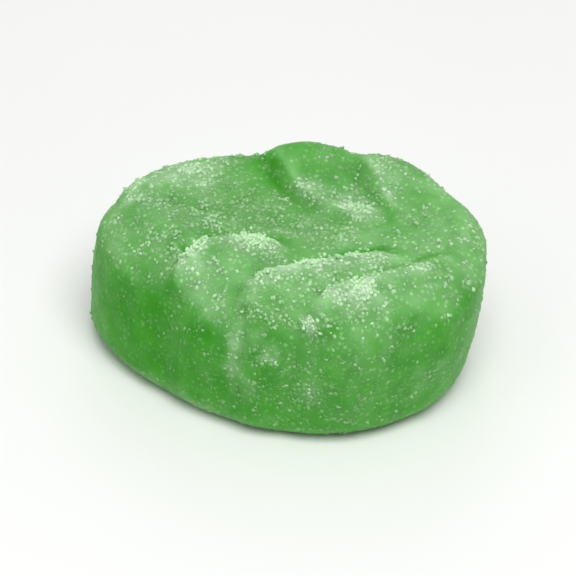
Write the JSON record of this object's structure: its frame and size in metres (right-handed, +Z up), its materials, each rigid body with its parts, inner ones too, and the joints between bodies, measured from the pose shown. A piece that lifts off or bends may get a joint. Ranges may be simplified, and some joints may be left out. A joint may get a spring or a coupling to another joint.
{
  "type": "sugared jelly leaf sweet",
  "caption": "Thick soft green jelly sweet moulded as a broad leaf with raised lobes and vein creases, flat underneath and sanded all over with sugar.",
  "frame": {"origin": "middle of the leaf's bounding box, on the flat base it rests on", "axes": "+X along the leaf from its tip to its stem end, +Y towards the far side, +Z up through the moulded top face"},
  "size_m": [0.032, 0.025, 0.0139],
  "materials": {
    "jelly": "translucent mid-green jelly with a soft sheen, frosted by fine sugar",
    "sugar": "small clear-white sugar crystals, loose and in clumps"
  },
  "bodies": {
    "root": {"jelly_leaf": "jelly"}
  },
  "joints": []
}
